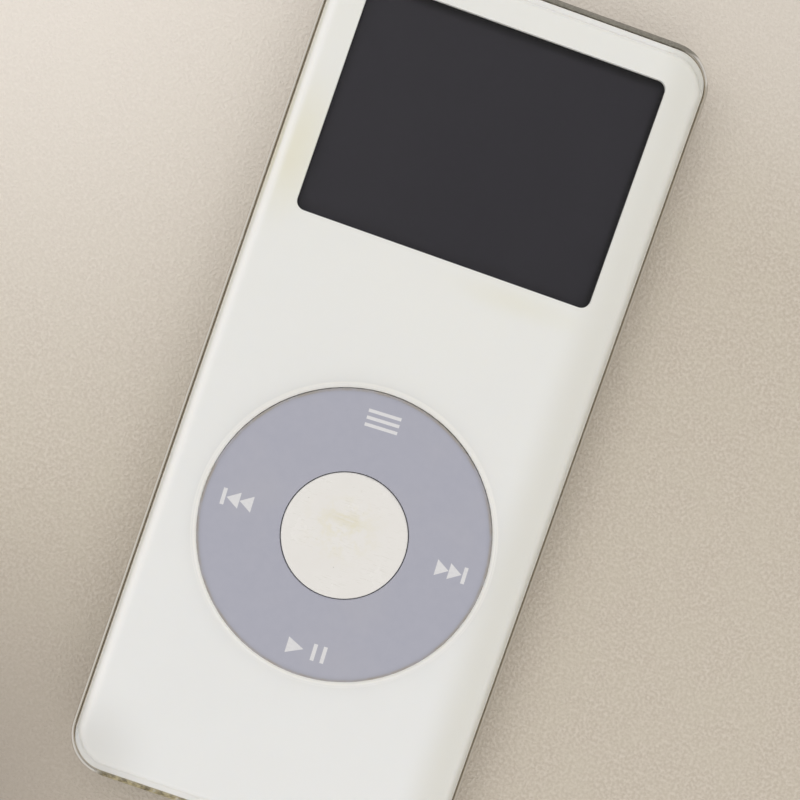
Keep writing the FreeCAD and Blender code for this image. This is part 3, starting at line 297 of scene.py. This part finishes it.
def polished_steel():
    """Mirror-polished sheet with hairline scratches, grime and dust, and painted shade.

    There is dust in the joint, deepened there into painted shade; painted shade on the right lip and a
    painted dark reflection on the far lip, both in dust colours; and grime along the dock end.
    """
    graph = Graph("polished_steel")
    scratch = 0.0
    for turn, length in ((0.35, 5 * MM), (-0.9, 3.5 * MM), (1.7, 6 * MM), (2.5, 4 * MM)):
        lines = graph.noise(1.0, 2.0, 0.6, graph.stretched((1 / length, 1 / HAIRLINE, 1 / length), turn))
        scratch = graph.most(scratch, graph.ramp(lines, 0.64, 0.70))
    smear = graph.noise(6 * MM, 4.0, 0.6)
    metal = graph.mix(smear, (0.71, 0.685, 0.645), (0.79, 0.765, 0.725))

    height = graph.axis("Z")
    # Painted shade: the slot inside the lip holds real dust, and the dust band is widened and darkened here
    # to stand in for the shade in the slot.
    inside_lip = graph.fall(graph.rim_distance(LIP_HALF, LIP_CORNER), 0.06 * MM, 0.14 * MM)
    dust_and_painted_shade = graph.times(inside_lip, graph.ramp(height, 4.3 * MM, 4.6 * MM))
    dust_and_painted_shade = graph.times(dust_and_painted_shade, graph.ramp(graph.noise(0.9 * MM, 4.0, 0.6), 0.2, 0.5, 0.55, 1.0))
    dust = graph.mix(graph.noise(0.4 * MM, 4.0, 0.7), (0.25, 0.21, 0.15), (0.40, 0.35, 0.27))

    lip_top = graph.ramp(height, 4.5 * MM, 4.7 * MM)
    # Painted shade: the right lip is dimmed to a dust colour, standing in for its reflection of the shaded
    # table beside it.
    right_lip_shade = graph.times(graph.ramp(graph.axis("X"), 19.45 * MM, 19.6 * MM), lip_top)
    dust_and_painted_shade = graph.most(dust_and_painted_shade, graph.times(right_lip_shade, 0.7))
    # Painted reflection: the far lip is darkened in dark patches, standing in for the dark surroundings it
    # mirrors.
    far_lip_dark_reflection = graph.times(graph.ramp(graph.axis("Y"), 44.0 * MM, 44.4 * MM), lip_top)
    dust_and_painted_shade = graph.most(dust_and_painted_shade, graph.times(far_lip_dark_reflection, 0.85))
    patches = graph.ramp(graph.noise(0.25 * MM, 4.0, 0.7), 0.35, 0.65)
    painted_dark_reflection = graph.mix(patches, (0.06, 0.056, 0.042), (0.15, 0.143, 0.112))
    # The dust colour takes the painted dark reflection on the far lip.
    dust = graph.tint(dust, far_lip_dark_reflection, 0.85, painted_dark_reflection)

    dock_end = graph.times(
        graph.ramp(graph.axis("Y"), -44.1 * MM, -44.6 * MM),
        graph.ramp(height, 4.2 * MM, 4.8 * MM),
        graph.ramp(graph.axis("X"), -16.6 * MM, -15.2 * MM),
    )
    grime = graph.times(dock_end, graph.ramp(graph.noise(0.5 * MM, 5.0, 0.7), 0.25, 0.45))
    lumps = graph.ramp(graph.noise(0.8 * MM, 5.0, 0.75), 0.36, 0.60)
    brown = graph.mix(lumps, (0.10, 0.082, 0.042), (0.44, 0.38, 0.23))

    # Grime together with the painted shade of the slot and lips; these places lose their metal shine.
    grime_and_painted_shade = graph.most(grime, dust_and_painted_shade)
    smeared = graph.ramp(smear, 0.35, 0.75, 0.06, 0.15)
    rough = graph.math("ADD", smeared, graph.times(scratch, 0.16))
    shader = graph.principled(
        Base_Color=graph.mix(grime, graph.mix(dust_and_painted_shade, metal, dust), brown),
        Metallic=graph.math("SUBTRACT", 1.0, grime_and_painted_shade),
        Roughness=graph.most(rough, graph.times(grime_and_painted_shade, 0.75)),
        Normal=graph.bump(graph.math("SUBTRACT", grime, scratch), FINE_RELIEF, 0.5),
    )
    return graph.finish(shader)


def clear_plastic():
    """Clear polycarbonate with faint rubbing marks, moulded onto the white layer; lamps shine through it.

    Its inside faces touch the white layer, so light goes straight on there.
    """
    graph = Graph("clear_plastic")
    glass = graph.principled(
        Base_Color=(0.985, 0.985, 0.975),
        Roughness=graph.ramp(graph.noise(9 * MM, 5.0, 0.6), 0.35, 0.8, 0.015, 0.06),
        Normal=graph.bump(graph.noise(4 * MM, 2.0), FINE_RELIEF, 0.25),
    )
    glass.inputs["IOR"].default_value = 1.49
    glass.inputs["Transmission Weight"].default_value = 1.0
    within = graph.math("LESS_THAN", graph.rim_distance(CORE_HALF, CORE_CORNER), 0.1 * MM)
    bonded = graph.times(within, graph.math("LESS_THAN", graph.axis("Z"), CORE_TOP + CONTACT_GAP))
    bonded = graph.most(bonded, graph.math("LESS_THAN", graph.axis("Z"), FRONT_LOW.z + CONTACT_GAP))
    shader = glass
    straight_on = graph.node("ShaderNodeBsdfTransparent", Color=(0.985, 0.985, 0.98))
    rays = graph.node("ShaderNodeLightPath").outputs
    for share in (bonded, rays["Is Diffuse Ray"], rays["Is Shadow Ray"]):
        mixed = graph.node("ShaderNodeMixShader")
        graph.feed(mixed.inputs[0], share)
        graph.feed(mixed.inputs[1], shader.outputs[0])
        graph.feed(mixed.inputs[2], straight_on.outputs[0])
        shader = mixed
    return graph.finish(shader)


def white_plastic():
    """White core of the front, yellowed beside and below the display and towards that end.

    It has painted light under the chamfer of the wheel's hole, along the left edge and on the end walls, and
    painted shade along the right edge, in the corner at the left of the dock end and in a faint ring outside
    the chamfer.
    """
    graph = Graph("white_plastic")
    cloud = graph.noise(14 * MM, 4.0, 0.55)
    white = graph.mix(cloud, (0.85, 0.86, 0.874), (0.882, 0.892, 0.908))
    beside = graph.spot((-17.5 * MM, 22 * MM, 6 * MM), (4.5 * MM, 10 * MM, SPOT_DEPTH))
    below = graph.spot((9 * MM, 14.6 * MM, 6 * MM), (10 * MM, 2.2 * MM, SPOT_DEPTH))
    sides = graph.ramp(graph.math("ABSOLUTE", graph.axis("X")), 18.65 * MM, 18.8 * MM)
    aged = graph.times(beside, 0.75)
    display_end = graph.ramp(graph.axis("Y"), -30 * MM, 42 * MM, 0.0, 0.22)
    for share in (graph.times(sides, 0.22), graph.times(below, 0.3), display_end):
        aged = graph.math("ADD", aged, share, clamp=True)
    aged = graph.times(aged, graph.ramp(cloud, 0.2, 0.8, 0.6, 1.0))
    colour = graph.mix(aged, white, (0.80, 0.775, 0.63))
    inset = graph.rim_distance(CORE_HALF, CORE_CORNER)
    # Painted highlight: a lighter band just inside the left edge of the core.
    painted_left_highlight = graph.times(
        graph.ramp(inset, -1.1 * MM, -0.3 * MM),
        graph.fall(inset, -0.15 * MM, 0.0),
        graph.ramp(graph.axis("X"), -16.0 * MM, -18.2 * MM),
    )
    colour = graph.tint(colour, painted_left_highlight, 0.75, (0.955, 0.955, 0.965))
    # Painted light: the core's end walls, below its front face, are lifted nearly to white against the shade
    # they sit in.
    end_wall_painted_light = graph.times(
        graph.fall(graph.axis("Z"), 6.0 * MM, 6.12 * MM),
        graph.ramp(graph.math("ABSOLUTE", graph.axis("Y")), 42.2 * MM, 43.0 * MM),
    )
    colour = graph.tint(colour, end_wall_painted_light, 0.85, (0.97, 0.97, 0.975))
    # Painted shade: greyer towards the right edge, away from the light.
    right_edge_shade = graph.ramp(graph.axis("X"), 13.5 * MM, 17.5 * MM)
    colour = graph.tint(colour, right_edge_shade, 0.85, (0.755, 0.75, 0.715))
    # Painted shade: greyer in the corner at the left of the dock end.
    corner = graph.spot((-17.5 * MM, -42.5 * MM, 6 * MM), (8 * MM, 8 * MM, SPOT_DEPTH))
    colour = graph.tint(colour, corner, 0.75, (0.70, 0.698, 0.69))

    radius = distance_from_wheel_axis(graph)
    chamfer = (15.35 * MM, 15.6 * MM)
    # Painted highlight under the chamfer of the wheel's hole, and a faint painted shade ring just outside it.
    chamfer_highlight = graph.fall(radius, *chamfer)
    chamfer_shade_ring = graph.times(graph.ramp(radius, *chamfer), graph.fall(radius, chamfer[1], 16.1 * MM))
    colour = graph.tint(colour, chamfer_highlight, 0.95, (0.99, 0.985, 0.97))
    colour = graph.tint(colour, chamfer_shade_ring, 0.05, (0.74, 0.73, 0.71))
    shader = graph.principled(Base_Color=colour, Roughness=graph.ramp(cloud, 0.3, 0.7, 0.4, 0.5))
    shader.inputs["Subsurface Weight"].default_value = 0.15
    shader.inputs["Subsurface Radius"].default_value = (1.0, 0.9, 0.75)
    shader.inputs["Subsurface Scale"].default_value = 0.5 * MM
    return graph.finish(shader)


def distance_from_wheel_axis(graph):
    """How far a point is from the upright line through the wheel's centre."""
    across = graph.node("ShaderNodeVectorMath", {"operation": "SUBTRACT"})
    graph.feed(across.inputs[0], graph.place)
    across.inputs[1].default_value = (WHEEL_CENTRE.x, WHEEL_CENTRE.y, 0)
    flat = graph.node("ShaderNodeVectorMath", {"operation": "MULTIPLY"})
    graph.feed(flat.inputs[0], across.outputs[0])
    flat.inputs[1].default_value = (1, 1, 0)
    length = graph.node("ShaderNodeVectorMath", {"operation": "LENGTH"})
    graph.feed(length.inputs[0], flat.outputs[0])
    return length.outputs["Value"]


def wheel_plastic():
    """Lavender-grey satin plastic with fine spark erosion, thumb polish and a darker outer edge."""
    graph = Graph("wheel_plastic")
    mottle = graph.noise(1.1 * MM, 5.0, 0.65)
    wear = graph.noise(7 * MM, 3.0, 0.5)
    grey = graph.mix(mottle, (0.385, 0.393, 0.47), (0.43, 0.437, 0.51))
    grey = graph.mix(graph.ramp(wear, 0.45, 0.8, 0.0, 0.35), grey, (0.46, 0.46, 0.51))
    radius = distance_from_wheel_axis(graph)
    grey = graph.mix(graph.ramp(radius, 14.1 * MM, 14.8 * MM, 0.0, 0.35), grey, (0.28, 0.285, 0.335))
    dirty = graph.ramp(graph.noise(2.5 * MM, 4.0, 0.65), 0.35, 0.6, 0.25, 0.9)
    dirty = graph.times(dirty, graph.ramp(radius, 14.45 * MM, 14.75 * MM))
    grey = graph.mix(dirty, grey, (0.33, 0.30, 0.265))
    grain = graph.noise(0.09 * MM, 2.0, 0.5)
    shader = graph.principled(
        Base_Color=grey,
        Roughness=graph.ramp(wear, 0.3, 0.75, 0.42, 0.32),
        Normal=graph.bump(grain, FINE_RELIEF, 0.5),
    )
    shader.inputs["Specular IOR Level"].default_value = 0.45
    return graph.finish(shader)


def on_button(across, along):
    """A place on the button's top face, measured from its centre."""
    return (WHEEL_CENTRE.x + across, WHEEL_CENTRE.y + along, BUTTON_TOP)


def button_plastic():
    """Warm white gloss, yellowed by a thumb, with fine scratches and a few dark specks."""
    graph = Graph("button_plastic")
    cloud = graph.noise(3 * MM, 4.0, 0.6)
    white = graph.mix(cloud, (0.785, 0.77, 0.745), (0.83, 0.82, 0.80))
    handled = graph.spot(on_button(-0.4 * MM, 0.6 * MM), (5.5 * MM, 5 * MM, SPOT_DEPTH))
    blotch = graph.ramp(graph.noise(1.2 * MM, 5.0, 0.65), 0.42, 0.66)
    colour = graph.tint(white, graph.times(handled, blotch), 0.7, (0.77, 0.74, 0.60))
    smear = graph.spot(on_button(-0.55 * MM, 1.6 * MM), (2.6 * MM, 0.95 * MM, SPOT_DEPTH))
    streak = graph.noise(1.0, 3.0, 0.6, graph.stretched((1 / (2 * MM), 1 / (0.35 * MM), 1 / MM), 0.1))
    smear = graph.times(smear, graph.ramp(streak, 0.3, 0.6))
    colour = graph.tint(colour, smear, 0.75, (0.73, 0.69, 0.52))
    scuffs = graph.noise(1.0, 2.0, 0.6, graph.stretched((1 / (1.2 * MM), 1 / SCUFF_WIDTH, 1 / MM), 0.5))
    scuffs = graph.times(graph.ramp(scuffs, 0.60, 0.70), graph.ramp(cloud, 0.38, 0.55))
    colour = graph.tint(colour, scuffs, 0.5, (0.58, 0.56, 0.50))
    colour = graph.tint(colour, graph.specks(1.0 * MM, 0.4, 0.07), 0.6, (0.36, 0.35, 0.31))
    shader = graph.principled(
        Base_Color=colour,
        Roughness=graph.ramp(cloud, 0.3, 0.75, 0.2, 0.3),
        Normal=graph.bump(graph.noise(0.5 * MM, 3.0), FAINT_RELIEF, 0.3),
    )
    return graph.finish(shader)


def icon_paint():
    """Pale print on the wheel, slightly rubbed."""
    graph = Graph("icon_paint")
    rubbed = graph.ramp(graph.noise(0.3 * MM, 4.0, 0.7), 0.45, 0.8)
    colour = graph.tint((0.72, 0.72, 0.74), rubbed, 0.3, (0.5, 0.51, 0.57))
    return graph.finish(graph.principled(Base_Color=colour, Roughness=graph.ramp(rubbed, 0, 1, 0.4, 0.5)))


def display_film():
    """Charcoal polarizer over an unlit panel, with painted shade along the far and right edges, and a little
    dust.
    """
    graph = Graph("display_film")
    cloud = graph.noise(10 * MM, 4.0, 0.6)
    charcoal = graph.mix(cloud, (0.0225, 0.0212, 0.0285), (0.0275, 0.0262, 0.0335))
    # Painted shade: the recess of the window shades the film along its far and right edges.
    far_edge_shade = graph.ramp(graph.axis("Y"), 39.1 * MM, 40.1 * MM)
    right_edge_shade = graph.ramp(graph.axis("X"), 14.8 * MM, 15.5 * MM)
    charcoal = graph.tint(charcoal, graph.most(far_edge_shade, right_edge_shade), 0.75, (0.004, 0.0035, 0.0045))
    dust = graph.specks(2.2 * MM, 0.16, 0.045)
    colour = graph.tint(charcoal, dust, 0.45, (0.30, 0.30, 0.30))
    shader = graph.principled(Base_Color=colour, Roughness=graph.ramp(cloud, 0.3, 0.7, 0.35, 0.45))
    shader.inputs["Specular IOR Level"].default_value = 0.15
    return graph.finish(shader)


def plain_plastic(name, low, high, grain_size, rough_low, rough_high):
    """Moulded plastic with a soft cloud of colour and a fine grain."""
    graph = Graph(name)
    cloud = graph.noise(5 * MM, 4.0, 0.6)
    shader = graph.principled(
        Base_Color=graph.mix(cloud, low, high),
        Roughness=graph.ramp(cloud, 0.3, 0.7, rough_low, rough_high),
        Normal=graph.bump(graph.noise(grain_size, 2.0), FINE_RELIEF, 0.4),
    )
    return graph.finish(shader)


def plain_metal(name, low, high, rough_low, rough_high):
    """Sheet metal with rolling marks along Y."""
    graph = Graph(name)
    marks = graph.noise(1.0, 3.0, 0.6, graph.stretched((1 / ROLLING_MARK, 1 / (3 * MM), 1 / ROLLING_MARK)))
    shader = graph.principled(
        Base_Color=graph.mix(marks, low, high),
        Metallic=1.0,
        Roughness=graph.ramp(marks, 0.3, 0.7, rough_low, rough_high),
        Normal=graph.bump(marks, FAINT_RELIEF, 0.4),
    )
    return graph.finish(shader)


def table_top():
    """Pale table with a fine pebbled grain, painted light towards the far left and far side, and a painted
    shadow at the near left.
    """
    graph = Graph("table_top")
    grain = graph.noise(0.34 * MM, 2.0, 0.5)
    pebble = graph.ramp(grain, 0.30, 0.74)
    cloud = graph.noise(26 * MM, 3.0, 0.5)
    blush = graph.ramp(graph.noise(5 * MM, 3.0, 0.6), 0.35, 0.65)
    colour = graph.mix(pebble, (0.52, 0.46, 0.38), (0.66, 0.60, 0.52))
    colour = graph.tint(colour, blush, 0.3, (0.60, 0.555, 0.455))
    colour = graph.tint(colour, cloud, 0.25, (0.61, 0.54, 0.46))
    # Painted light: a pool of light towards the far left, and the far side lighter too.
    painted_light_pool = graph.spot((-56 * MM, 40 * MM, 0), (85 * MM, 75 * MM, 10 * MM))
    colour = graph.tint(colour, painted_light_pool, 0.75, (0.93, 0.88, 0.83))
    far = graph.ramp(graph.axis("Y"), 25 * MM, 55 * MM, 0.0, 0.5)
    colour = graph.mix(far, colour, (0.80, 0.75, 0.70))
    # Painted shadow at the near left.
    darker = graph.spot((-34 * MM, -56 * MM, 0), (40 * MM, 42 * MM, 10 * MM))
    colour = graph.tint(colour, darker, 0.9, (0.36, 0.315, 0.27))
    shader = graph.principled(
        Base_Color=colour,
        Roughness=graph.ramp(grain, 0.3, 0.7, 0.45, 0.6),
        Normal=graph.bump(pebble, 0.10 * MM, 0.6),
    )
    return graph.finish(shader)


# Two colours between which the cloud moves, the size of the grain, and the lowest and highest roughness
PLAIN_PLASTICS = {
    "frame_plastic": ((0.012, 0.012, 0.013), (0.025, 0.025, 0.027), 0.15 * MM, 0.4, 0.55),
    "display_glass": ((0.05, 0.055, 0.06), (0.07, 0.075, 0.08), 1 * MM, 0.05, 0.1),
    "foam": ((0.008, 0.008, 0.009), (0.018, 0.018, 0.02), 0.12 * MM, 0.85, 0.95),
    "seal_rubber": ((0.30, 0.26, 0.195), (0.44, 0.39, 0.30), 0.2 * MM, 0.7, 0.9),
    "board_laminate": ((0.012, 0.075, 0.045), (0.02, 0.10, 0.06), 0.3 * MM, 0.3, 0.4),
    "chip_resin": ((0.018, 0.018, 0.02), (0.03, 0.03, 0.033), 0.08 * MM, 0.5, 0.65),
    "polyimide": ((0.38, 0.16, 0.03), (0.48, 0.22, 0.05), 0.4 * MM, 0.25, 0.35),
    "lead_sleeve": ((0.40, 0.03, 0.02), (0.48, 0.05, 0.035), 0.2 * MM, 0.4, 0.5),
    "socket_plastic": ((0.70, 0.69, 0.66), (0.76, 0.75, 0.72), 0.12 * MM, 0.35, 0.5),
    "orange_mark": ((0.80, 0.20, 0.02), (0.88, 0.26, 0.04), 0.1 * MM, 0.4, 0.5),
}

# Two colours between which the rolling marks move, and the lowest and highest roughness
PLAIN_METALS = {
    "stamped_steel": ((0.50, 0.50, 0.49), (0.62, 0.62, 0.61), 0.25, 0.4),
    "spring_contact": ((0.80, 0.56, 0.22), (0.90, 0.67, 0.32), 0.15, 0.25),
    "cell_pouch": ((0.60, 0.60, 0.61), (0.70, 0.70, 0.71), 0.3, 0.42),
}


def make_materials():
    """A material for each slot of the CAD model, by the slot's name."""
    materials = {
        "polished_steel": polished_steel(),
        "clear_plastic": clear_plastic(),
        "white_plastic": white_plastic(),
        "wheel_plastic": wheel_plastic(),
        "button_plastic": button_plastic(),
        "display_film": display_film(),
    }
    for name, look in PLAIN_PLASTICS.items():
        materials[name] = plain_plastic(name, *look)
    for name, look in PLAIN_METALS.items():
        materials[name] = plain_metal(name, *look)
    return materials


def dress_nodes(materials):
    """Give every CAD node the material of its slot."""
    for part in frame["record"]["subparts"]:
        node = nodes[part["node"]]
        node.data.materials.clear()
        node.data.materials.append(materials[part["material_slot"]])


# Printed icons


ICON_SINK = 0.004 * MM
ICON_THICKNESS = 0.012 * MM
ICON_TURN = math.radians(2)

# The icons' places and sizes, in millimetres: arrows are base by depth, bars are width by height
LIST_CENTRE = (-0.12, 12.1)
LIST_BAR = (3.4, 0.34)
LIST_PITCH = 0.72
PLAY_CENTRE = (0.1, -12.15)
PLAY_ARROW = (1.66, 1.74)
PLAY_ARROW_X = -1.96
PAUSE_BAR = (0.40, 1.73)
PAUSE_BARS_X = (0.88, 1.90)
SKIP_CENTRE = (11.5, 0.12)
SKIP_ARROW = (1.68, 1.34)
SKIP_ARROWS_X = (-1.78, -0.42)
SKIP_BAR = (0.40, 1.71)
SKIP_BAR_X = 1.22


def rectangle(centre_x, centre_y, width, height):
    x, y = width / 2, height / 2
    corners = ((-x, -y), (x, -y), (x, y), (-x, y))
    return [(centre_x + across, centre_y + along) for across, along in corners]


def arrow(base_x, base, depth):
    """A triangle on an upright base; a positive depth points it right."""
    corners = [(base_x, -base / 2), (base_x + depth, 0), (base_x, base / 2)]
    return corners if depth > 0 else corners[::-1]


def add_icon(name, centre, outlines, paint):
    """Thin printed plates on the wheel's top face.

    In millimetres: centre is measured from the wheel's centre, and the outlines from there.
    """
    mesh = bmesh.new()
    low = WHEEL_HIGH.z - ICON_SINK
    middle = WHEEL_CENTRE + Vector((*centre, 0)) * MM
    for outline in outlines:
        turned = [Matrix.Rotation(ICON_TURN, 2) @ Vector(point) * MM for point in outline]
        corners = [mesh.verts.new((middle.x + point.x, middle.y + point.y, low)) for point in turned]
        face = mesh.faces.new(corners)
        lifted = bmesh.ops.extrude_face_region(mesh, geom=[face])["geom"]
        raised = [item for item in lifted if isinstance(item, bmesh.types.BMVert)]
        bmesh.ops.translate(mesh, verts=raised, vec=(0, 0, ICON_THICKNESS))
    bmesh.ops.recalc_face_normals(mesh, faces=mesh.faces)
    data = bpy.data.meshes.new(name)
    mesh.to_mesh(data)
    mesh.free()
    icon = bpy.data.objects.new(name, data)
    scene.collection.objects.link(icon)
    data.materials.append(paint)
    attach(icon, "wheel")


def add_icons():
    paint = icon_paint()
    bars = [rectangle(0, row * LIST_PITCH, *LIST_BAR) for row in (-1, 0, 1)]
    add_icon("icon_list", LIST_CENTRE, bars, paint)
    play = [arrow(PLAY_ARROW_X, *PLAY_ARROW)] + [rectangle(x, 0, *PAUSE_BAR) for x in PAUSE_BARS_X]
    add_icon("icon_play_pause", PLAY_CENTRE, play, paint)
    base, depth = SKIP_ARROW
    across, along = SKIP_CENTRE
    for name, side in (("icon_next", 1), ("icon_previous", -1)):
        shapes = [arrow(side * base_x, base, side * depth) for base_x in SKIP_ARROWS_X]
        shapes.append(rectangle(side * SKIP_BAR_X, 0, *SKIP_BAR))
        add_icon(name, (side * across, side * along), shapes, paint)


# Table


def add_table():
    """A wide plane just below the player's back."""
    mesh = bmesh.new()
    bmesh.ops.create_grid(mesh, x_segments=1, y_segments=1, size=TABLE_SIZE)
    bmesh.ops.translate(mesh, verts=mesh.verts, vec=(0, 0, -TABLE_GAP))
    data = bpy.data.meshes.new("table")
    mesh.to_mesh(data)
    mesh.free()
    table = bpy.data.objects.new("table", data)
    scene.collection.objects.link(table)
    data.materials.append(table_top())


scene.view_settings.view_transform = "Standard"
add_camera()
add_lights()
add_table()
dress_nodes(make_materials())
add_icons()
